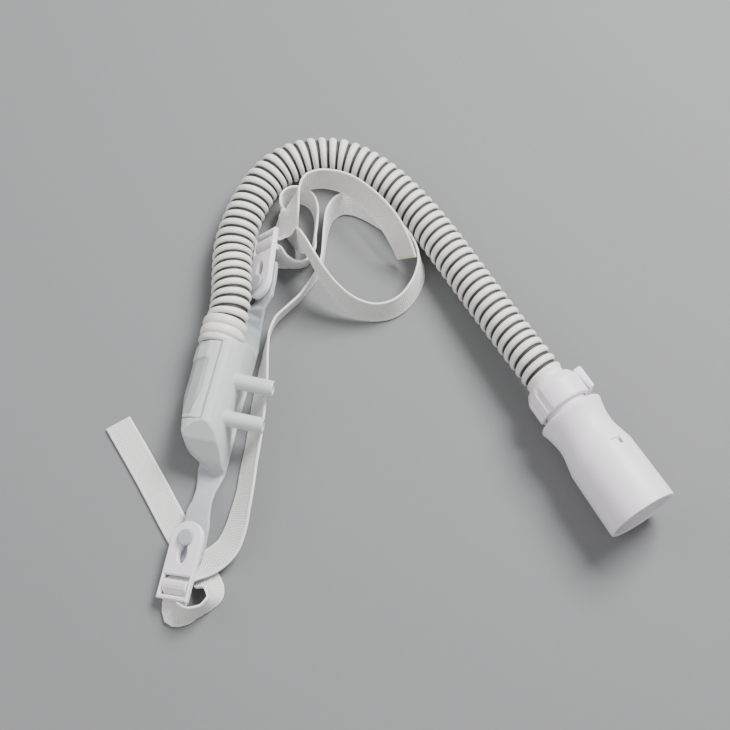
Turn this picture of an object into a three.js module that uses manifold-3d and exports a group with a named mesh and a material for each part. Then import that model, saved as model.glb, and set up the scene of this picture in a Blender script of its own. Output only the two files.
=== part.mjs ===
// High-flow nasal cannula with breathing hose, elastic head strap and 22 mm connector.
// Millimetres, +Z up, lying on z = 0. The origin is the middle of the nasal piece's underside,
// and +X runs along the connector's axis, out of its mouth.
import * as THREE from "three";
import { mergeVertices } from "three/addons/utils/BufferGeometryUtils.js";
import Module from "manifold-3d";

const wasm = await Module();
wasm.setup();

// Driving dimensions
const FIT = 0.3; // gap between pieces that touch
const ROUND_SIDES = 48;

const HOSE_OD = 14.5;
const HOSE_BORE = 11.8;
const HOSE_SIDES = 12;
const HOSE_STEPS = 60;
const CUFF_OD = 16;
const CUFF_LENGTH = 10;

const CONNECTOR_OD = 25; // over the 22 mm socket
const SOCKET_BORE = 22;
const SOCKET_DEPTH = 22;
const CONNECTOR_LENGTH = 42.6;
const LIP_OD = 23.5;
const WAIST_OD = 20.6;
const WAIST_AT = 10; // from the lip's end
const SHOULDER_OD = 24;
const SHOULDER_AT = 18.8;
const THROAT_BORE = 13;
const LIP_END_X = 66.8;
const CONNECTOR_Y = 97.7;

const SLEEVE_OD = 15.5;
const SLEEVE_BORE = 11;
const SLEEVE_IN_CONNECTOR = 7;
const SLEEVE_IN_COLLAR = 8.1;
const COLLAR_OD = 20;
const COLLAR_LENGTH = 10.4;
const COLLAR_FACE_OD = 17;
const COLLAR_CHAMFER = 2.4;
const COLLAR_TO_LIP = 2.4;
const FLUTE_RADIUS = 1.3;
const FLUTE_DEPTH = 0.45;
const FLUTE_ANGLES = [48, 66, 84, 102, 120, 138]; // degrees from the top towards -Y
const LUG_HEIGHT = 10.5;
const LUG_REACH = 1.6;

const NASAL_HEADING = 46; // degrees from +X to the way the prongs point
const BAND_THICKNESS = 1.5;
const BAND_WIDTH = 9.6;
const WAIST_WIDTH = 7;
const PRONG_OD = 5.6;
const PRONG_BORE = 3.8;
const PRONG_SPACING = 14;
const PRONG_TIP = 15.4; // from the band's middle line
const PRONG_HEIGHT = 12;
const BLOCK_WALL = 1.3;
const MANIFOLD_FLOOR = BAND_THICKNESS + FIT;
const AIRWAY_AT = [-7.5, 9.4]; // the manifold's bore, across and up
const AIRWAY_BORE = 10.4;
const AIRWAY_END = -7.5;
const MANIFOLD_TOP_END = 18.8;
const POCKET_END = -10.6;
const PANEL_DEPTH = 0.5;

const BUCKLE_LENGTH = 26.8;
const BUCKLE_WIDTH = 12;
const BUCKLE_THICKNESS = 2.2;
const BUCKLE_EDGE = 0.35;
const STUD_AT = 5.8; // from the buckle's round end
const STUD_NECK = 1.7;
const STUD_HOLE = 2.1;
const STUD_HEAD = 3.05;
const STUD_HEAD_HEIGHT = 0.9;
const LEAF_AT = 11.4;
const LEAF_LENGTH = 6.4;
const LEAF_WIDTH = 3.2;
const WINDOW_AT = 18.6;
const WINDOW_LENGTH = 6.8;
const BAR_WIDTH = 1.6;
const BAR_HEIGHT = 0.8;
const ARM_WIDTH = 10.8;
const ARM_OFFSET = 0.7; // towards the prongs' side of the buckle
const ARM_TIP = 14.5; // the wing arm's end, from the buckle's round end

const STRAP_WIDTH = 9.4;
const STRAP_THICKNESS = 0.9;
const STRAP_STEP = 2.6;
const WINDOW_WIDTH = STRAP_WIDTH + 2 * FIT;

// The hose's middle line, from the cuff to the collar
const HOSE_ROUTE = [
  [-34.4, 21.5, 9], [-39.4, 24.4, 8.5], [-45, 27.7, 7.9], [-50.7, 31.3, 7.4], [-55.4, 35.4, 7.3],
  [-59.4, 39.8, 7.3], [-63, 44.2, 7.3], [-66.1, 48.8, 7.3], [-68.8, 53.5, 7.3], [-70.6, 58.4, 7.3],
  [-71.6, 63.2, 7.3], [-71.4, 69.6, 7.3], [-69.9, 75.2, 7.3], [-66.8, 80.9, 7.3], [-62.6, 85.8, 7.3],
  [-56.2, 89.9, 7.3], [-48.3, 93.2, 7.3], [-38.7, 95.5, 7.3], [-28, 97.1, 7.3], [-17, 97.8, 7.6],
  [-6, 97.9, 8.2], [5, 97.8, 8.9], [16, 97.7, 9.8], [27, 97.7, 10.7], [36, 97.7, 11.5],
  [43, 97.7, 12.3], [49, 97.7, 12.5],
];

// The strap's middle line. Each row is x, y, z and the turn about its own length in degrees:
// 0 lies flat, -90 stands on edge.
const STRAP_TAIL_A = [
  [-16.1, -35.2, 0.5, 0], [6.6, -35.4, 0.5, 0], [29.6, -36.2, 0.5, 0], [41, -36.3, 0.5, 0],
  [48.6, -36.3, 0.6, -2], [52.4, -36.1, 2.2, -28], [55.4, -36.8, 4, -58], [57.6, -39, 4.7, -80],
  [58.2, -42.2, 4.8, -86], [57.6, -45.6, 4.7, -80], [56, -48.7, 3.9, -56], [53.8, -50.6, 3, -28],
];
const STRAP_MAIN = [
  [44.2, -41.2, 3.2, -18], [44.1, -38.6, 3, -14], [44.5, -35.4, 2.6, -8], [44.9, -32, 2.5, -8],
  [44.7, -28.4, 2.7, -12], [43.5, -24.3, 3, -20], [39.6, -19, 3.6, -32], [34.5, -14.1, 4, -42],
  [29.8, -9.8, 4.1, -48], [22.7, -4.2, 4.1, -50], [18.5, -0.6, 4.1, -52], [11.2, 5.2, 4.1, -53],
  [4.4, 10.3, 4.2, -55], [-2.3, 15.4, 4.4, -62], [-9.3, 20.6, 4.7, -74], [-15.6, 25.7, 4.8, -82],
  [-19.5, 30.7, 4.8, -82], [-21.2, 36.2, 4.8, -80], [-22.7, 42.1, 4.8, -80],
  [-25, 47.5, 4.8, -82], [-27.4, 52.4, 4.8, -86], [-31.1, 57, 4.8, -89], [-36.7, 61.3, 4.8, -91],
  [-42, 65.3, 4.8, -94], [-46.4, 69.6, 4.8, -102], [-48.2, 74.4, 4.4, -114],
  [-47, 78.9, 4, -130], [-42.5, 82.4, 3.9, -126], [-35.4, 85.5, 4.1, -120], [-27.9, 87.8, 4.3, -106],
  [-20.1, 89.2, 4.6, -90], [-13.1, 88.2, 4.7, -78], [-8.2, 85, 4.7, -72], [-4, 79.4, 4.7, -71],
  [-1.7, 73.2, 4.7, -71], [-1.8, 67.8, 4.7, -71], [-3.9, 62.7, 4.9, -72], [-7.6, 58.7, 6, -74],
  [-12.2, 55.7, 8.2, -77], [-18.4, 53.6, 11.2, -80], [-24.5, 52.8, 14.2, -83],
  [-31, 52.9, 15.1, -85], [-36.9, 53.2, 14.9, -86], [-40.6, 53.7, 9.5, -82],
  [-44.2, 54.1, 5, -74], [-49.8, 54.5, 4.5, -62],
  [-54, 54.6, 4.7, -76], [-58.1, 55.7, 4.8, -90], [-60.8, 58.3, 4.8, -98], [-61, 61.8, 4.8, -103],
  [-58.9, 65, 4.8, -104], [-54.9, 66.8, 4.8, -102], [-50.1, 66, 4.8, -99], [-45.3, 63.2, 4.8, -97],
  [-40.3, 59.4, 4.8, -98], [-35.9, 56.3, 4.8, -100], [-34, 53.1, 4.8, -102], [-34.1, 50.6, 4.8, -104],
  [-35.4, 48.4, 4.8, -100], [-37.8, 46.6, 4.8, -88], [-41.3, 44.9, 4.3, -58],
];
const STRAP_TAIL_B = [
  [-55, 60.8, 15, -72], [-56.9, 64, 14.8, -88], [-57.6, 67.1, 14.6, -100], [-57, 71.3, 14, -106],
  [-54.3, 75.7, 13.4, -110], [-50.8, 79, 13, -114], [-46.5, 81.3, 12.6, -119],
  [-40.9, 83, 12.4, -124], [-34.6, 84.2, 12.2, -127], [-28.5, 84.7, 11.8, -129],
  [-22.6, 84.6, 10.2, -128], [-18.8, 84.4, 8, -125], [-15.8, 84, 5.8, -122],
];

// Shapes
const vec = (x, y, z) => new THREE.Vector3(x, y, z);
const rad = THREE.MathUtils.degToRad;

function facingOut(geometry) {
  const merged = geometry.index ? geometry : mergeVertices(geometry);
  const at = merged.attributes.position;
  const index = merged.index.array;
  const [a, b, c] = [vec(), vec(), vec()];
  let volume = 0;
  for (let i = 0; i < index.length; i += 3) {
    a.fromBufferAttribute(at, index[i]);
    b.fromBufferAttribute(at, index[i + 1]);
    c.fromBufferAttribute(at, index[i + 2]);
    volume += a.dot(b.cross(c));
  }
  if (volume < 0) {
    for (let i = 0; i < index.length; i += 3) {
      [index[i + 1], index[i + 2]] = [index[i + 2], index[i + 1]];
    }
  }
  return merged;
}

function solidOf(geometry) {
  const bare = geometry.clone();
  bare.deleteAttribute("normal");
  bare.deleteAttribute("uv");
  const merged = facingOut(mergeVertices(bare, 1e-4));
  const vertProperties = Float32Array.from(merged.attributes.position.array);
  const triVerts = Uint32Array.from(merged.index.array);
  return new wasm.Manifold(new wasm.Mesh({ numProp: 3, vertProperties, triVerts }));
}

function geometryOf(solid) {
  const { vertProperties, triVerts } = solid.getMesh();
  const geometry = new THREE.BufferGeometry();
  geometry.setAttribute("position", new THREE.BufferAttribute(vertProperties, 3));
  geometry.setIndex(new THREE.BufferAttribute(triVerts, 1));
  geometry.computeVertexNormals();
  return geometry;
}

function outlineOf(points) {
  return new THREE.Shape(points.map(([x, y]) => new THREE.Vector2(x, y)));
}

function ring(radius, sides) {
  const at = (i) => (2 * Math.PI * i) / sides;
  return Array.from({ length: sides }, (_, i) => [radius * Math.cos(at(i)), radius * Math.sin(at(i))]);
}

// A prism over a plan outline, from z = low to z = high
function prism(points, low, high) {
  const geometry = new THREE.ExtrudeGeometry(outlineOf(points), { depth: high - low, bevelEnabled: false });
  return geometry.translate(0, 0, low);
}

// A prism over an outline of across and up, along Y from start to end
function prismAlong(points, start, end) {
  const flat = prism(points, -end, -start);
  return flat.rotateX(Math.PI / 2);
}

function turned(profile, sides = ROUND_SIDES) {
  const points = profile.map(([radius, along]) => new THREE.Vector2(radius, along));
  return new THREE.LatheGeometry([...points, points[0].clone()], sides);
}

// A turned piece whose axis is the connector's axis
function turnedOnAxis(profile) {
  const geometry = turned(profile).rotateZ(-Math.PI / 2);
  return facingOut(mergeVertices(geometry)).translate(0, CONNECTOR_Y, CONNECTOR_OD / 2);
}

function tube(route, outer, bore, steps) {
  const section = outlineOf(ring(outer / 2, HOSE_SIDES));
  section.holes.push(new THREE.Path(ring(bore / 2, HOSE_SIDES).map(([x, y]) => new THREE.Vector2(x, y))));
  const extrudePath = new THREE.CatmullRomCurve3(route, false, "centripetal");
  return new THREE.ExtrudeGeometry(section, { steps, extrudePath });
}

// A band with four corners at each station: middle, half width as a vector, and thickness
function band(stations, thickness) {
  const positions = [];
  const index = [];
  stations.forEach((station, i) => {
    const before = stations[Math.max(i - 1, 0)].at;
    const after = stations[Math.min(i + 1, stations.length - 1)].at;
    const along = station.along ?? after.clone().sub(before).normalize();
    const up = along.clone().cross(station.half).setLength(thickness / 2);
    for (const [side, face] of [[1, 1], [-1, 1], [-1, -1], [1, -1]]) {
      const corner = station.at.clone().addScaledVector(station.half, side).addScaledVector(up, face);
      positions.push(corner.x, corner.y, corner.z);
    }
  });
  for (let i = 0; i < stations.length - 1; i += 1) {
    for (let k = 0; k < 4; k += 1) {
      const [a, b] = [4 * i + k, 4 * i + ((k + 1) % 4)];
      index.push(a, a + 4, b, b, a + 4, b + 4);
    }
  }
  const last = 4 * (stations.length - 1);
  index.push(0, 1, 2, 0, 2, 3, last, last + 2, last + 1, last, last + 3, last + 2);
  const geometry = new THREE.BufferGeometry();
  geometry.setAttribute("position", new THREE.Float32BufferAttribute(positions, 3));
  geometry.setIndex(index);
  return facingOut(geometry);
}

function look(color, roughness, opacity = 1) {
  return new THREE.MeshStandardMaterial({ color, roughness, metalness: 0, opacity, transparent: opacity < 1 });
}

const HOSE_LOOK = look("#e2e1d7", 0.45);
const CUFF_LOOK = look("#dedccb", 0.4);
const MANIFOLD_LOOK = look("#cdd0cf", 0.35, 0.85);
const SILICONE_LOOK = look("#c3c9d0", 0.3, 0.75);
const RIGID_LOOK = look("#f1e8f1", 0.38);
const STRAP_LOOK = look("#dcd8d6", 0.9);

function piece(name, geometry, material) {
  geometry.computeVertexNormals();
  const mesh = new THREE.Mesh(geometry, material);
  mesh.name = name;
  return mesh;
}

const cannula = new THREE.Group();
const nasalEnd = new THREE.Group();
nasalEnd.rotation.z = rad(NASAL_HEADING);
cannula.add(nasalEnd);

// Where each buckle lies in the nasal end's own frame: its round end's middle, its heading from
// +Y, its pitch and its roll. Its own X runs across, Y to its strap end and Z out of its face.
const UPPER_SEAT = { at: [0.6, 42.4, 5.85], heading: 7, pitch: 0, roll: -50 };
const LOWER_SEAT = { at: [-0.4, -43.8, 7.5], heading: 180, pitch: -5, roll: 22 };

function seatMatrix({ at, heading, pitch, roll }) {
  const turn = new THREE.Euler(rad(pitch), rad(roll), rad(heading), "ZXY");
  return new THREE.Matrix4().makeRotationFromEuler(turn).setPosition(...at);
}

function buckleGeometry() {
  const radius = BUCKLE_WIDTH / 2;
  const shape = new THREE.Shape();
  shape.moveTo(-radius, BUCKLE_LENGTH);
  shape.lineTo(-radius, radius);
  shape.absarc(0, radius, radius, Math.PI, 2 * Math.PI, false);
  shape.lineTo(radius, BUCKLE_LENGTH);
  const keyhole = new THREE.Path();
  const neck = Math.asin(LEAF_WIDTH / 3 / STUD_HOLE);
  keyhole.absarc(0, STUD_AT, STUD_HOLE, Math.PI / 2 + neck, Math.PI / 2 - neck, false);
  keyhole.absellipse(0, LEAF_AT, LEAF_WIDTH / 2, LEAF_LENGTH / 2, rad(-50), rad(230), false, 0);
  shape.holes.push(keyhole);
  const [side, near, far] = [WINDOW_WIDTH / 2, WINDOW_AT, WINDOW_AT + WINDOW_LENGTH];
  shape.holes.push(outlineOf([[-side, near], [side, near], [side, far], [-side, far]]));
  const plate = new THREE.ExtrudeGeometry(shape, {
    depth: BUCKLE_THICKNESS - 2 * BUCKLE_EDGE,
    bevelThickness: BUCKLE_EDGE,
    bevelSize: BUCKLE_EDGE,
    bevelOffset: -BUCKLE_EDGE,
    bevelSegments: 1,
    curveSegments: 10,
  }).translate(0, 0, BUCKLE_EDGE - BUCKLE_THICKNESS / 2);
  const bar = new THREE.BoxGeometry(WINDOW_WIDTH + 1, BAR_WIDTH, BAR_HEIGHT);
  bar.translate(0, WINDOW_AT + WINDOW_LENGTH / 2, (BAR_HEIGHT - BUCKLE_THICKNESS) / 2);
  return geometryOf(solidOf(plate).add(solidOf(bar)));
}

function addBuckle(name, seat) {
  const mesh = piece(name, buckleGeometry(), RIGID_LOOK);
  mesh.applyMatrix4(seatMatrix(seat));
  nasalEnd.add(mesh);
}

// The stiff manifold: its outline across and up, and its plan
const MANIFOLD_SECTION = [
  [-15.2, 6.2], [-15.2, 9.2], [-13.4, 12.9], [-9.8, 16], [-7, 16.9], [-4.6, 16.9], [-1.6, 15.2],
  [0.6, 12.2], [1.2, 9], [0.8, 5.6], [-0.6, 3.2], [-3, MANIFOLD_FLOOR], [-12.2, MANIFOLD_FLOOR],
  [-14.2, 3.4],
];
const MANIFOLD_PLAN = [
  [-14.2, MANIFOLD_TOP_END], [-15.4, 16.6], [-15.4, 12], [-15, 6], [-14.8, -0.7], [-13.2, -7.5],
  [-12.4, POCKET_END], [3, POCKET_END], [3, MANIFOLD_TOP_END],
];
const PANEL_PLAN = [[-16, 12], [-8.6, 12], [-8.3, -1], [-10.4, -9.4], [-16, -9.4]];

// The silicone block that the manifold sits in
const BLOCK_SECTION = [
  [-15, 6.2], [-15, 9.2], [-13.2, 12.9], [-9.8, 16.2], [-7, 17.6], [-4.6, 18.2], [-2.4, 17.8],
  [0.4, 16], [2.4, 13], [3.4, 9.6], [4.2, 5.4], [4.7, 1.2], [4.7, 0.4], [-4.7, 0.4], [-4.7, 1.4],
  [-12.2, 1.6], [-14.2, 3.4],
];
const BLOCK_PLAN = [
  [4.4, 21.9], [0, 22.3], [-3.6, 21.8], [-5.2, 20], [-5.2, POCKET_END - FIT], [-12.4, POCKET_END - FIT],
  [-11.8, -13], [-11.4, -15.1], [-10.6, -16.8], [-8.6, -18.9], [-6.5, -20.2], [1.3, -24.2],
  [3.2, -24.4], [4.8, -22.8], [4.6, -16], [4, -10.4], [3.4, -4], [3, 1.2], [4, 5], [4.4, 12],
];
const BLOCK_SIDE = [[22.4, 0.4], [22.4, 9], [19.5, 18.4], [-11, 18.4], [-17, 14], [-22, 7.5], [-24.6, 2], [-24.6, 0.4]];

function grownSection(points, growth) {
  const [cx, cz] = AIRWAY_AT;
  return points.map(([x, z]) => {
    const reach = Math.hypot(x - cx, z - cz);
    return [cx + ((x - cx) * (reach + growth)) / reach, cz + ((z - cz) * (reach + growth)) / reach];
  });
}

// A round bore along the manifold, from start to end
function airway(bore, start, end) {
  const [cx, cz] = AIRWAY_AT;
  const points = ring(bore / 2, ROUND_SIDES / 2).map(([x, z]) => [cx + x, cz + z]);
  return solidOf(prismAlong(points, start, end));
}

// A round bar across, at each prong
function acrossAtProngs(radius, start, end) {
  return [-1, 1].map((side) => {
    const bar = new THREE.CylinderGeometry(radius, radius, end - start, 24);
    bar.rotateZ(Math.PI / 2).translate((start + end) / 2, (side * PRONG_SPACING) / 2, PRONG_HEIGHT);
    return solidOf(bar);
  });
}

function manifoldGeometry() {
  let body = solidOf(prismAlong(MANIFOLD_SECTION, -30, 30));
  body = body.intersect(solidOf(prism(MANIFOLD_PLAN, 0, 30)));
  const skin = solidOf(prismAlong(grownSection(MANIFOLD_SECTION, -PANEL_DEPTH), -30, 30));
  body = body.subtract(solidOf(prism(PANEL_PLAN, 7.5, 30)).subtract(skin));
  body = body.subtract(airway(AIRWAY_BORE, AIRWAY_END, 40));
  for (const outlet of acrossAtProngs(PRONG_BORE / 2, AIRWAY_AT[0], 3)) {
    body = body.subtract(outlet);
  }
  return geometryOf(body);
}

// One half of the wing band: flat by the block, then twisting into the buckle's seat
function wingStations(side, seat, bends) {
  const stations = [{ at: vec(0, 0, BAND_THICKNESS / 2), half: vec(BAND_WIDTH / 2, 0, 0) }];
  for (const [y, z, width, tilt] of bends) {
    const half = vec(Math.cos(rad(tilt)), 0, Math.sin(rad(tilt))).multiplyScalar(width / 2);
    stations.push({ at: vec(0.3, side * y, z), half });
  }
  const matrix = seatMatrix(seat);
  const drop = -(BUCKLE_THICKNESS / 2 + FIT + BAND_THICKNESS / 2);
  const across = vec(side, 0, 0).transformDirection(matrix);
  const round = ARM_WIDTH / 2;
  const tips = [[0, 0.9], [STUD_AT, 1], [ARM_TIP - 2.4, 1], [ARM_TIP - 1.3, 0.95], [ARM_TIP - 0.5, 0.82],
    [ARM_TIP, 0.6]];
  for (const [s, share] of tips) {
    const at = vec(side * ARM_OFFSET, s, drop).applyMatrix4(matrix);
    stations.push({ at, half: across.clone().multiplyScalar(round * share) });
  }
  return stations;
}

const UPPER_BENDS = [
  [24, 0.75, BAND_WIDTH, 0], [27.5, 1.15, 8.6, 2], [31, 1.5, 8, 6], [35, 2.6, 8, 18],
  [38.6, 3.7, 9, 34],
];
const LOWER_BENDS = [
  [24, 0.75, BAND_WIDTH, 0], [27.5, 1.1, 8.2, 3], [31, 2.1, WAIST_WIDTH, 8], [35, 3.5, WAIST_WIDTH, 14],
  [39.5, 4.8, 9, 20],
];

function studSolid(seat) {
  const base = -(BUCKLE_THICKNESS / 2 + FIT + BAND_THICKNESS / 2);
  const seatTop = BUCKLE_THICKNESS / 2 + FIT;
  const top = seatTop + STUD_HEAD_HEIGHT;
  const profile = [[0, base], [STUD_NECK, base], [STUD_NECK, seatTop], [STUD_HEAD, seatTop],
    [STUD_HEAD, top - 0.3], [STUD_HEAD - 0.3, top], [0, top]];
  const points = profile.map(([radius, z]) => new THREE.Vector2(radius, z));
  const stud = new THREE.LatheGeometry(points, ROUND_SIDES / 2).rotateX(Math.PI / 2);
  return solidOf(stud.translate(0, STUD_AT, 0).applyMatrix4(seatMatrix(seat)));
}

function nasalGeometry() {
  let body = solidOf(prismAlong(BLOCK_SECTION, -30, 30));
  body = body.intersect(solidOf(prism(BLOCK_PLAN, 0, 30)));
  const side = solidOf(prism(BLOCK_SIDE, -30, 30).rotateX(Math.PI / 2).rotateZ(Math.PI / 2));
  body = body.intersect(side);
  for (const prong of acrossAtProngs(PRONG_OD / 2, 0, PRONG_TIP)) {
    body = body.add(prong);
  }
  const pocket = grownSection(MANIFOLD_SECTION, FIT).map(([x, z]) => [x, Math.max(z, BAND_THICKNESS)]);
  body = body.subtract(solidOf(prismAlong(pocket, POCKET_END - FIT, 40)));
  body = body.subtract(airway(CUFF_OD + 2 * FIT, MANIFOLD_TOP_END, 40));
  for (const bore of acrossAtProngs(PRONG_BORE / 2, 0, PRONG_TIP + 1)) {
    body = body.subtract(bore);
  }
  const wings = [[1, UPPER_SEAT, UPPER_BENDS], [-1, LOWER_SEAT, LOWER_BENDS]];
  for (const [way, seat, bends] of wings) {
    body = body.add(solidOf(band(wingStations(way, seat, bends), BAND_THICKNESS)));
    body = body.add(studSolid(seat));
  }
  return geometryOf(body);
}

// The stretch of strap that goes through a buckle's window and over its bar
function threadedStations(seat, rows) {
  const matrix = nasalEnd.matrix.clone().multiply(seatMatrix(seat));
  const across = vec(rows[0].left, 0, 0).transformDirection(matrix);
  return rows.map(({ s, n, c = 0 }) => ({ at: vec(c, s, n).applyMatrix4(matrix), across }));
}

const BAR_AT = WINDOW_AT + WINDOW_LENGTH / 2;
const BAR_TOP = BAR_HEIGHT - BUCKLE_THICKNESS / 2;
const OVER_BAR = BAR_TOP + FIT + STRAP_THICKNESS / 2 + 0.25;
const KNEE = OVER_BAR - 0.4;
const SLOT_MID = (WINDOW_LENGTH + BAR_WIDTH) / 4;

function threadUnderLower() {
  const left = 1;
  const rows = [
    [SLOT_MID + 3.5, -2.2], [SLOT_MID + 1.6, -2], [SLOT_MID + 0.9, -1.75], [SLOT_MID, -1],
    [SLOT_MID - 0.65, KNEE], [0, OVER_BAR], [0.65 - SLOT_MID, KNEE], [-SLOT_MID, -1],
    [-SLOT_MID - 0.9, -1.8], [-SLOT_MID - 1.9, -2.5],
  ];
  return threadedStations(LOWER_SEAT, rows.map(([s, n]) => ({ left, s: BAR_AT + s, n })));
}

function threadThroughUpper() {
  const left = -1;
  const rows = [
    [-SLOT_MID - 0.3, -3.4, -0.3], [-SLOT_MID - 0.1, -2.1, -0.1], [-SLOT_MID, -0.8], [0.5 - SLOT_MID, KNEE],
    [0, OVER_BAR],
    [SLOT_MID - 0.5, KNEE], [SLOT_MID, -0.7], [SLOT_MID + 0.2, -1.9], [SLOT_MID + 2.2, -3, 1.2],
    [SLOT_MID + 4.1, -3.2, 4.4], [SLOT_MID + 5.5, -2.6, 8.6], [SLOT_MID + 7.9, -1.4, 11.9],
  ];
  return threadedStations(UPPER_SEAT, rows.map(([s, n, c]) => ({ left, s: BAR_AT + s, n, c })));
}

function laidStations(rows) {
  return rows.map(([x, y, z, turn]) => ({ at: vec(x, y, z), turn }));
}

function strapStations() {
  const rows = [
    ...laidStations(STRAP_TAIL_A), ...threadUnderLower(), ...laidStations(STRAP_MAIN),
    ...threadThroughUpper(), ...laidStations(STRAP_TAIL_B),
  ];
  const curve = new THREE.CatmullRomCurve3(rows.map((row) => row.at), false, "centripetal");
  const last = rows.length - 1;
  const acrossAt = rows.map((row, i) => {
    if (row.across) {
      return row.across;
    }
    const along = curve.getTangent(i / last);
    const left = vec(-along.y, along.x, 0).normalize();
    const up = along.clone().cross(left);
    return left.multiplyScalar(Math.cos(rad(row.turn))).addScaledVector(up, Math.sin(rad(row.turn)));
  });
  const stations = [];
  for (let i = 0; i < last; i += 1) {
    const pieces = Math.max(1, Math.round(rows[i].at.distanceTo(rows[i + 1].at) / STRAP_STEP));
    for (let k = 0; k < pieces + (i === last - 1 ? 1 : 0); k += 1) {
      const u = (i + k / pieces) / last;
      const at = curve.getPoint(u);
      const along = curve.getTangent(u);
      const half = acrossAt[i].clone().lerp(acrossAt[i + 1], k / pieces);
      half.addScaledVector(along, -half.dot(along)).setLength(STRAP_WIDTH / 2);
      const up = along.clone().cross(half).setLength(STRAP_THICKNESS / 2);
      at.z = Math.max(at.z, Math.abs(half.z) + Math.abs(up.z));
      stations.push({ at, along, half });
    }
  }
  return stations;
}

// Connector, sleeve and collar, as radius and place along the axis
const COLLAR_END_X = LIP_END_X - COLLAR_TO_LIP;
const COLLAR_START_X = COLLAR_END_X - COLLAR_LENGTH;
const SLEEVE_START_X = COLLAR_END_X - SLEEVE_IN_COLLAR;
const SLEEVE_END_X = LIP_END_X + SLEEVE_IN_CONNECTOR;
const MOUTH_X = LIP_END_X + CONNECTOR_LENGTH;
const SLEEVE_SEAT = SLEEVE_OD / 2 + FIT;

function connectorGeometry() {
  const [lip, waist, shoulder] = [LIP_OD / 2, WAIST_OD / 2, SHOULDER_OD / 2];
  const waistX = LIP_END_X + WAIST_AT;
  const shoulderX = LIP_END_X + SHOULDER_AT;
  const eased = (from, to, x0, x1, power, steps) => Array.from({ length: steps }, (_, i) => {
    const t = (i + 1) / steps;
    return [to + (from - to) * (1 - t) ** power, x0 + (x1 - x0) * t];
  });
  const profile = [
    [SLEEVE_SEAT, LIP_END_X], [lip - 0.9, LIP_END_X], [lip - 0.2, LIP_END_X + 0.35], [lip, LIP_END_X + 1.1],
    ...eased(lip, waist, LIP_END_X + 1.1, waistX, 2, 6), ...eased(waist, shoulder, waistX, shoulderX, 1, 1),
    [CONNECTOR_OD / 2, MOUTH_X], [SOCKET_BORE / 2 + 0.3, MOUTH_X], [SOCKET_BORE / 2, MOUTH_X - 0.6],
    [SOCKET_BORE / 2, MOUTH_X - SOCKET_DEPTH], [THROAT_BORE / 2, SLEEVE_END_X + 4.5],
    [THROAT_BORE / 2, SLEEVE_END_X + FIT], [SLEEVE_SEAT, SLEEVE_END_X + FIT],
  ];
  const latch = new THREE.BoxGeometry(2.6, 4.3, 1.6);
  latch.translate(0, 0, SHOULDER_OD / 2 + 0.05).rotateX(rad(-20));
  latch.translate(shoulderX, CONNECTOR_Y, CONNECTOR_OD / 2);
  return geometryOf(solidOf(turnedOnAxis(profile)).subtract(solidOf(latch)));
}

function sleeveGeometry() {
  const [outer, bore] = [SLEEVE_OD / 2, SLEEVE_BORE / 2];
  return turnedOnAxis([[bore, SLEEVE_START_X], [outer, SLEEVE_START_X], [outer, SLEEVE_END_X], [bore, SLEEVE_END_X]]);
}

function collarGeometry() {
  const outer = COLLAR_OD / 2;
  const profile = [
    [SLEEVE_BORE / 2, COLLAR_START_X], [COLLAR_FACE_OD / 2, COLLAR_START_X],
    [outer, COLLAR_START_X + COLLAR_CHAMFER], [outer, COLLAR_END_X - 0.5], [outer - 0.5, COLLAR_END_X],
    [SLEEVE_SEAT, COLLAR_END_X], [SLEEVE_SEAT, SLEEVE_START_X - FIT], [SLEEVE_BORE / 2, SLEEVE_START_X - FIT],
  ];
  let body = solidOf(turnedOnAxis(profile));
  for (const angle of FLUTE_ANGLES) {
    const reach = outer + FLUTE_RADIUS - FLUTE_DEPTH;
    const flute = new THREE.CylinderGeometry(FLUTE_RADIUS, FLUTE_RADIUS, COLLAR_LENGTH, 12);
    flute.rotateZ(Math.PI / 2).translate((COLLAR_START_X + COLLAR_END_X) / 2 + COLLAR_CHAMFER, 0, reach);
    flute.rotateX(rad(angle)).translate(0, CONNECTOR_Y, CONNECTOR_OD / 2);
    body = body.subtract(solidOf(flute));
  }
  const rim = CONNECTOR_Y + outer;
  const lugPlan = [
    [COLLAR_START_X + 1, rim - 2.4], [COLLAR_START_X + 4.6, rim - 3.6], [COLLAR_END_X - 3.2, rim - 1.6],
    [COLLAR_END_X - 0.6, rim - 0.1], [COLLAR_END_X - 0.2, rim + 1], [COLLAR_END_X - 1.2, rim + LUG_REACH],
    [COLLAR_START_X + 1.8, rim + LUG_REACH - 0.1], [COLLAR_START_X + 1, rim + LUG_REACH - 1.2],
  ];
  const lugMid = CONNECTOR_OD / 2;
  const lug = solidOf(prism(lugPlan, lugMid - LUG_HEIGHT / 2, lugMid + LUG_HEIGHT / 2));
  const hollow = new THREE.CylinderGeometry(SLEEVE_SEAT, SLEEVE_SEAT, SLEEVE_IN_COLLAR + FIT, ROUND_SIDES);
  hollow.rotateZ(Math.PI / 2).translate((SLEEVE_START_X - FIT + COLLAR_END_X) / 2, CONNECTOR_Y, lugMid);
  return geometryOf(body.add(lug.subtract(solidOf(hollow))));
}

// The hose's own line starts at the manifold's end and first runs straight through the cuff
function hoseEnd(distance) {
  const [across, up] = AIRWAY_AT;
  return vec(across, MANIFOLD_TOP_END + distance, up).applyMatrix4(nasalEnd.matrix);
}

nasalEnd.updateMatrix();
const cuffRoute = [hoseEnd(FIT), hoseEnd(FIT + CUFF_LENGTH / 2), hoseEnd(FIT + CUFF_LENGTH)];
const hoseRoute = [
  hoseEnd(2 * FIT + CUFF_LENGTH), hoseEnd(2 * FIT + CUFF_LENGTH + 4),
  ...HOSE_ROUTE.map((point) => vec(...point)),
  vec(COLLAR_START_X - FIT, CONNECTOR_Y, CONNECTOR_OD / 2),
];

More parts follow.
